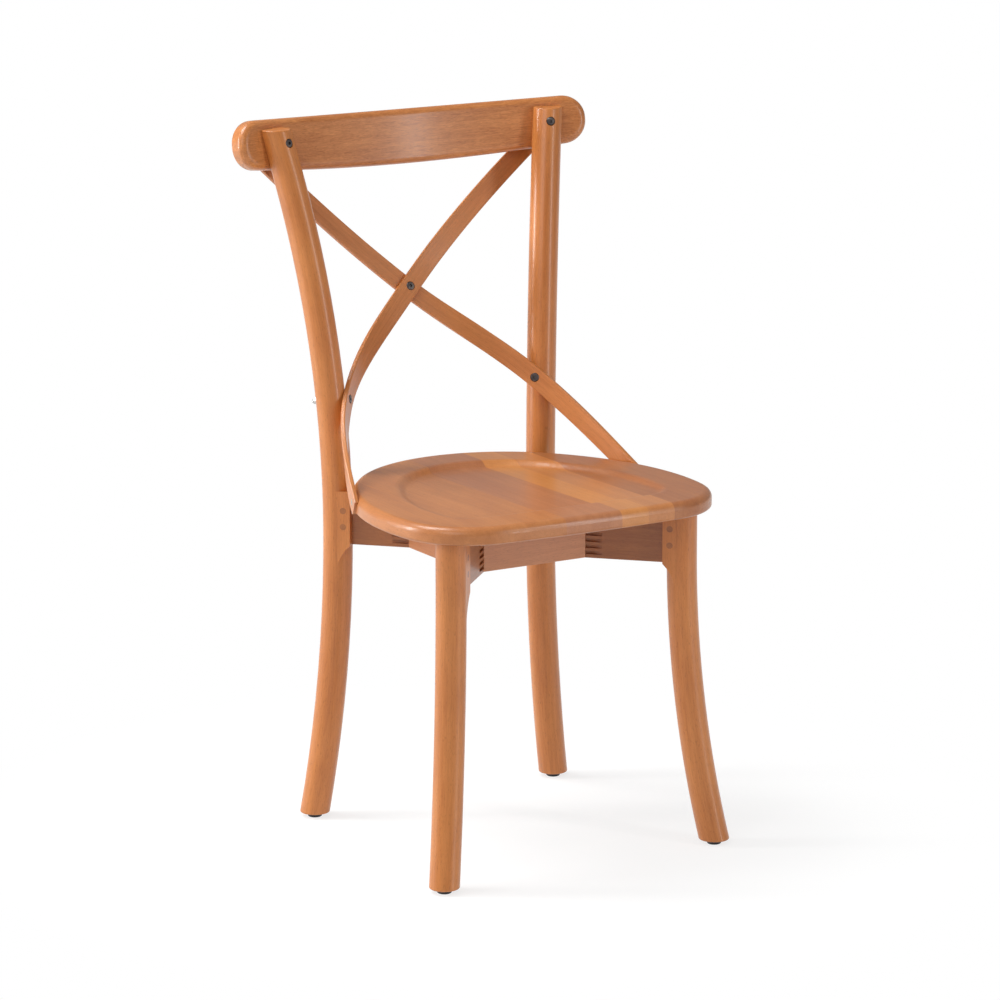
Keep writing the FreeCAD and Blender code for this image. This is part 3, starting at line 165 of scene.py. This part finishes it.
# The front strip's middle line: height, then x and y. Stretch is its length over its height
strips = {
    "stretch": 1.6,
    "line": (
        (0.42, -0.204, -0.022), (0.46, -0.196, 0.006), (0.50, -0.175, 0.059),
        (0.54, -0.147, 0.106), (0.58, -0.108, 0.145), (0.62, -0.059, 0.176),
        (0.66, -0.009, 0.200), (0.70, 0.037, 0.215), (0.74, 0.083, 0.224),
        (0.78, 0.128, 0.227), (0.82, 0.173, 0.225), (0.87, 0.230, 0.218),
    ),
}
lineRoom = {"height": 0.9, "reach": 0.3}  # a float curve runs from 0 to 1 both ways


def alongLine(line, stretch=1.0):
    tall, reach = lineRoom["height"], lineRoom["reach"]

    def read(shop):
        x, y, z = shop.place()
        height = z / tall
        offsets = []
        for axis, here in ((1, x), (2, y)):
            points = [(point[0] / tall, (point[axis] + reach) / (2 * reach)) for point in line]
            centre = shop.add("FloatCurve", {"line": points}, {"Value": height})
            offsets.append(here - (centre * (2 * reach) - reach))
        return z * stretch, offsets[0], offsets[1]

    return read


def alongCourse(angle):
    cos, sin = math.cos(math.radians(angle)), math.sin(math.radians(angle))

    def read(shop):
        x, y, z = shop.place()
        return x * cos + y * sin, z, y * cos - x * sin

    return read


def alongBoard(shop):
    x, y, z = shop.place()
    return y, x, z


# The crest rail's front face: its bow, its lean in degrees, and the foot of its middle
crest = {"radius": 0.720, "lean": 9.65, "frontY": 0.2129, "bottom": 0.8275, "curl": 1.3}


def alongCrest(shop):
    x, y, z = shop.place()
    cos, sin = math.cos(math.radians(crest["lean"])), math.sin(math.radians(crest["lean"]))
    back = (y - crest["frontY"]) * cos - (z - crest["bottom"]) * sin
    rise = (y - crest["frontY"]) * sin + (z - crest["bottom"]) * cos
    outward = back + crest["radius"]
    along = x.angleFrom(outward) * crest["radius"]
    through = (x * x + outward * outward).root() - crest["radius"]
    return along, rise, through


# Stained beech: each layer's repeats in a metre along and across the grain, then its
# detail, roughness and distortion
layers = {
    "cloud": (9, 24, 3, 0.55, 0.0),
    "streak": (4.5, 150, 4, 0.6, 0.0),
    "fibre": (36, 900, 2, 0.6, 0.0),
    "fleck": (190, 1500, 1, 0.4, 0.0),
    "ripple": (70, 420, 2, 0.5, 1.6),
}
stain = {
    "seed": 11,
    "start": (1, 9),  # metres into the figure, drawn for each piece
    "cloudFade": (0.28, 0.72), "streakFade": (0.3, 0.7), "fleckFade": (0.60, 0.74),
    "cloudShare": 0.34, "streakShare": 0.26, "fibreShare": 0.8, "fleckShare": 0.42,
    "streakDrift": 0.010, "fleckDepth": 0.55,
}
lacquer = {
    "roughness": 0.40, "fibreRough": 0.16, "cloudRough": 0.10,
    "coat": 0.34, "coatRoughness": 0.20,
    "relief": 0.00006, "fibreRelief": 0.7, "fleckRelief": 0.3,
}
random.seed(stain["seed"])


def layer(shop, name, along, across, through):
    run, pitch, detail, roughness, distortion = layers[name]
    place = (along * run, across * pitch, through * pitch)
    return shop.noise(*place, detail, roughness, distortion)


def beech(name, grain, dark, light, curl=0.0):
    shop = materialShop(name)
    along, across, through = grain(shop)
    along = along + random.uniform(*stain["start"])
    across = across + random.uniform(*stain["start"])
    cloud = layer(shop, "cloud", along, across, through)
    drift = cloud.swing() * stain["streakDrift"]
    streak = layer(shop, "streak", along, across + drift, through)
    fibre = layer(shop, "fibre", along, across, through)
    flecks = shop.fade(layer(shop, "fleck", along, across, through), *stain["fleckFade"])
    tone = shop.fade(cloud, *stain["cloudFade"]) * stain["cloudShare"]
    tone = tone + shop.fade(streak, *stain["streakFade"]) * stain["streakShare"]
    even = (1 - stain["cloudShare"] - stain["streakShare"]) / 2  # the mean stays at a half
    tone = tone + fibre.swing() * stain["fibreShare"] + even
    if curl:
        tone = tone + layer(shop, "ripple", along, across, through).swing() * curl
    colour = shop.blend(tone.clipped(), dark, light)
    deep = tuple(channel * stain["fleckDepth"] for channel in dark[:3]) + (1.0,)
    colour = shop.blend(flecks * stain["fleckShare"], colour, deep)
    roughness = lacquer["roughness"] + fibre.swing() * lacquer["fibreRough"]
    roughness = roughness + cloud.swing() * lacquer["cloudRough"]
    relief = fibre * lacquer["fibreRelief"] - flecks * lacquer["fleckRelief"]
    surface = shop.add("BsdfPrincipled", {}, {
        "Base Color": colour,
        "Roughness": roughness,
        "Coat Weight": lacquer["coat"],
        "Coat Roughness": lacquer["coatRoughness"],
        "Normal": shop.bump(relief, lacquer["relief"]),
    })
    return shop.finish(surface)


def dress(node, material):
    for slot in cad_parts[node].material_slots:
        slot.material = material


# Dark and light of each wood
woods = {
    "leg": (paint(182, 102, 40), paint(218, 140, 72)),
    "rail": (paint(168, 94, 38), paint(218, 142, 78)),
    "strip": (paint(176, 102, 44), paint(218, 140, 76)),
    "arm": (paint(144, 82, 38), paint(180, 112, 60)),
    # The rails' colour is paler and pinker than the other woods: partly their own tone, partly a
    # painted sheen copied from the lit front rail
    "underRailWithSheen": (paint(180, 112, 68), paint(216, 148, 102)),
    "seatMid": (paint(176, 104, 52), paint(208, 136, 78)),
    "seatPink": (paint(170, 102, 60), paint(198, 130, 84)),
    "seatLight": (paint(198, 124, 60), paint(220, 148, 82)),
    "seatRight": (paint(186, 114, 60), paint(212, 140, 80)),
    "seatDark": (paint(158, 90, 46), paint(186, 118, 68)),
}

for side, hand in ((1, "right"), (-1, "left")):
    for kind in ("front", "back"):
        grain = alongLine(legLine(kind, side))
        dress(f"{kind}_leg_{hand}", beech(f"{kind}Leg{hand.title()}", grain, *woods["leg"]))
dress("crest_rail", beech("crestRail", alongCrest, *woods["rail"], curl=crest["curl"]))
for name, side in (("front", 1), ("rear", -1)):
    line = [(height, x * side, y) for height, x, y in strips["line"]]
    grain = alongLine(line, strips["stretch"])
    dress(f"cross_strip_{name}", beech(f"strip{name.title()}", grain, *woods["strip"]))
print("legs, crest rail and strips dressed")

# Directions of the pieces under the seat, in degrees seen from above
courses = {
    "arm": {"front_right": -47, "front_left": 227, "back_right": 45, "back_left": 135},
    "rail": {"front": 0, "back": 0, "left": 90, "right": 90},
    "peg": 43,
}
for name, angle in courses["arm"].items():
    dress(f"frame_arm_{name}", beech(f"arm_{name}", alongCourse(angle), *woods["arm"]))
# The rails' wood carries a painted sheen in its paler, pinker colour
for name, angle in courses["rail"].items():
    wood = beech(f"underRailWithSheen_{name}", alongCourse(angle), *woods["underRailWithSheen"])
    dress(f"frame_rail_{name}", wood)
dress("frame_pegs", beech("pegEnds", alongCourse(courses["peg"]), *woods["arm"]))
print("under frame dressed")

boards = (  # from the left
    "seatMid", "seatMid", "seatMid", "seatMid", "seatPink",
    "seatLight", "seatRight", "seatDark", "seatDark",
)
for number, wood in enumerate(boards, start=1):
    dress(f"seat_board_{number}", beech(f"seatBoard{number}", alongBoard, *woods[wood]))
print("seat dressed")

steelGrain = {
    "grain": 900, "grainDetail": 3, "smear": 160, "smearDetail": 2, "smearFade": (0.4, 0.7),
    "roughSwing": 0.2, "relief": 0.00002,
}
steels = {
    "blackSteel": {
        "colour": paint(84, 78, 78), "worn": paint(118, 110, 106), "roughness": 0.42,
        "nodes": ("crest_bolts", "strip_bolts", "crossing_bolt"),
    },
    "brightSteel": {
        "colour": paint(206, 204, 200), "worn": paint(176, 174, 170), "roughness": 0.24,
        "nodes": ("strip_cap_nuts", "crossing_cap_nut"),
    },
    "zincSteel": {
        "colour": paint(190, 184, 168), "worn": paint(150, 146, 134), "roughness": 0.35,
        "nodes": ("crest_inserts", "strip_screws", "seat_screws", "glide_nails"),
    },
}


def steel(name, spec):
    shop = materialShop(name)
    x, y, z = shop.place()
    fine, broad = steelGrain["grain"], steelGrain["smear"]
    grain = shop.noise(x * fine, y * fine, z * fine, steelGrain["grainDetail"])
    smear = shop.noise(x * broad, y * broad, z * broad, steelGrain["smearDetail"])
    worn = shop.fade(smear, *steelGrain["smearFade"])
    surface = shop.add("BsdfPrincipled", {}, {
        "Base Color": shop.blend(worn, spec["colour"], spec["worn"]),
        "Metallic": 1.0,
        "Roughness": spec["roughness"] + grain.swing() * steelGrain["roughSwing"],
        "Normal": shop.bump(grain, steelGrain["relief"]),
    })
    return shop.finish(surface)


glides = {
    "colour": paint(20, 20, 21), "scuffed": paint(50, 49, 48), "scuffShare": 0.4,
    "scuff": 90, "scuffUpward": 400, "scuffDetail": 3, "scuffFade": (0.45, 0.75),
    "grain": 1400, "grainDetail": 2,
    "roughness": 0.55, "roughSwing": 0.2, "relief": 0.00004,
}


def glidePlastic():
    shop = materialShop("glidePlastic")
    x, y, z = shop.place()
    fine, broad, upward = glides["grain"], glides["scuff"], glides["scuffUpward"]
    grain = shop.noise(x * fine, y * fine, z * fine, glides["grainDetail"])
    scuff = shop.noise(x * broad, y * broad, z * upward, glides["scuffDetail"])
    share = shop.fade(scuff, *glides["scuffFade"]) * glides["scuffShare"]
    surface = shop.add("BsdfPrincipled", {}, {
        "Base Color": shop.blend(share, glides["colour"], glides["scuffed"]),
        "Roughness": glides["roughness"] + scuff.swing() * glides["roughSwing"],
        "Normal": shop.bump(grain, glides["relief"]),
    })
    return shop.finish(surface)


for name, spec in steels.items():
    metal = steel(name, spec)
    for node in spec["nodes"]:
        dress(node, metal)
plastic = glidePlastic()
for corner in courses["arm"]:
    dress(f"glide_{corner}", plastic)
print("fixings dressed")

# Floor: seen as white with a soft shadow near the feet, but lit as a pale grey one
floorLook = {
    "size": 60.0, "segments": 8,
    "pale": (grey(0.60), grey(0.63)), "speckle": 40, "speckleDetail": 2, "speckleFade": (0.3, 0.7),
    "shadowed": grey(0.31), "glow": 0.735, "shadowReach": (0.25, 0.70),
}
white = {"Color": grey(1.0), "Strength": 1.0}


def makeFloor():
    mesh = bpy.data.meshes.new("floor")
    body = bmesh.new()
    segments = floorLook["segments"]
    bmesh.ops.create_grid(
        body, x_segments=segments, y_segments=segments, size=floorLook["size"] / 2
    )
    body.to_mesh(mesh)
    body.free()
    floor = bpy.data.objects.new("floor", mesh)
    bpy.context.scene.collection.objects.link(floor)
    shop = materialShop("paleFloor")
    x, y, z = shop.place()
    far = shop.fade((x * x + y * y).root(), *floorLook["shadowReach"])
    often = floorLook["speckle"]
    speckle = shop.noise(x * often, y * often, z, floorLook["speckleDetail"])
    shade = shop.blend(shop.fade(speckle, *floorLook["speckleFade"]), *floorLook["pale"])
    plain = shop.add("BsdfDiffuse", {}, {"Color": shade})
    shadowed = shop.add("BsdfDiffuse", {}, {"Color": floorLook["shadowed"]})
    glow = shop.add("Emission", {}, {"Color": white["Color"], "Strength": floorLook["glow"]})
    near = shop.add("AddShader", {}, {0: shadowed, 1: glow})
    seen = shop.add("MixShader", {}, {0: far, 1: near, 2: shop.add("Emission", {}, white)})
    path = shop.add("LightPath", {}, {})
    ray = path.out("Is Camera Ray").atLeast(path.out("Is Glossy Ray"))
    ray = ray.atLeast(path.out("Is Transmission Ray"))
    mixed = shop.add("MixShader", {}, {0: ray, 1: plain, 2: seen})
    mesh.materials.append(shop.finish(mixed))


roomStrength = 0.34


def makeWorld():
    world = bpy.data.worlds.new("studioWorld")
    bpy.context.scene.world = world
    shop = Workshop(world)
    room = shop.add("Background", {}, {"Color": white["Color"], "Strength": roomStrength})
    backdrop = shop.add("Background", {}, white)
    path = shop.add("LightPath", {}, {})
    ray = path.out("Is Camera Ray").atLeast(path.out("Is Transmission Ray"))
    mixed = shop.add("MixShader", {}, {0: ray, 1: room, 2: backdrop})
    shop.add("OutputWorld", {}, {0: mixed})


# Soft boxes: overhead, low on the left, a tall narrow one on the right, and a broad one in front
lamps = {
    "key": {"place": (-1.3, 0.9, 3.4), "size": (1.5, 1.5), "power": 78},
    "left": {"place": (-2.6, 1.5, 1.1), "size": (0.5, 1.5), "power": 52},
    "side": {"place": (1.40, -2.5, 1.0), "size": (0.12, 2.2), "power": 22},
    "front": {"place": (-3.2, -2.2, 2.6), "size": (2.4, 2.0), "power": 34},
}
lampTarget = (0, 0, 0.5)


def aim(name, data, place, look):
    thing = bpy.data.objects.new(name, data)
    thing.location = place
    thing.rotation_euler = look.to_track_quat("-Z", "Y").to_euler()
    bpy.context.scene.collection.objects.link(thing)
    return thing


def makeLamp(name):
    spec = lamps[name]
    data = bpy.data.lights.new(name, "AREA")
    data.shape = "RECTANGLE"
    data.size, data.size_y = spec["size"]
    data.energy = spec["power"]
    aim(name, data, spec["place"], Vector(lampTarget) - Vector(spec["place"]))


# Camera: millimetres for its lens and sensor, degrees for its aim
view = {
    "place": (-2.7917, -4.7034, 1.6817), "lens": 159.4, "sensor": 36.0,
    "down": 12.94, "heading": 59.163,
}


def makeCamera():
    data = bpy.data.cameras.new("camera")
    data.sensor_width, data.lens = view["sensor"], view["lens"]
    down, heading = math.radians(view["down"]), math.radians(view["heading"])
    level = math.cos(down)
    look = Vector((level * math.cos(heading), level * math.sin(heading), -math.sin(down)))
    bpy.context.scene.camera = aim("camera", data, view["place"], look)


makeFloor()
makeWorld()
for name in lamps:
    makeLamp(name)
makeCamera()
bpy.context.scene.view_settings.view_transform = "Standard"
print("studio set")
